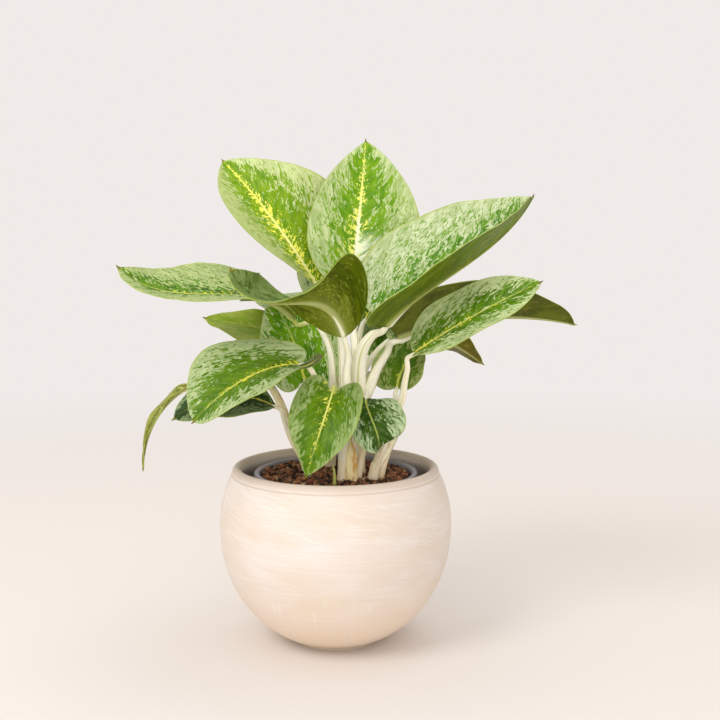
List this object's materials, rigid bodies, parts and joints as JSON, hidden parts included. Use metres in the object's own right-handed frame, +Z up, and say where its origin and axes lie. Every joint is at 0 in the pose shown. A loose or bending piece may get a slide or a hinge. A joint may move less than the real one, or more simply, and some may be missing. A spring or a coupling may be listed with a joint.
{
  "type": "potted chinese evergreen",
  "caption": "Chinese evergreen houseplant with broad pale-blotched leaves on cream stems, in a round matte pot with a smaller nursery pot of soil inside.",
  "frame": {"origin": "centre of the pot's flat foot, on the surface that it stands on", "axes": "+Z up along the pot's axis, +X to the viewer's right, and the side that the picture shows faces -Y"},
  "size_m": [0.3358, 0.2288, 0.373],
  "materials": {
    "pot": "matte whitewashed clay, cream over warm tan",
    "nursery_pot": "lavender-grey moulded plastic",
    "soil": "dark brown peat and coir",
    "leaf": "satin green with silvery blotches and a yellow midrib above, dull olive below",
    "shoot": "smooth cream-white stems with a green tint"
  },
  "bodies": {
    "root": {"leaf_back_high": "leaf", "leaf_back_high_left": "leaf", "leaf_back_high_right": "leaf", "leaf_back_left": "leaf", "leaf_back_low": "leaf", "leaf_back_middle": "leaf", "leaf_back_right": "leaf", "leaf_centre_back": "leaf", "leaf_front_heart": "leaf", "leaf_front_low": "leaf", "leaf_front_tall": "leaf", "leaf_left_front": "leaf", "leaf_left_long": "leaf", "leaf_left_low": "leaf", "leaf_left_small": "leaf", "leaf_left_thin": "leaf", "leaf_right_back": "leaf", "leaf_right_big": "leaf", "leaf_right_far": "leaf", "leaf_right_front": "leaf", "leaf_right_low": "leaf", "leaf_top_centre": "leaf", "leaf_top_left": "leaf", "nursery_pot": "nursery_pot", "pot": "pot", "shoot_back": "shoot", "shoot_centre": "shoot", "shoot_front": "shoot", "shoot_inner_left": "shoot", "shoot_left": "shoot", "shoot_right": "shoot", "soil": "soil", "spear_shoot": "shoot"}
  },
  "joints": []
}
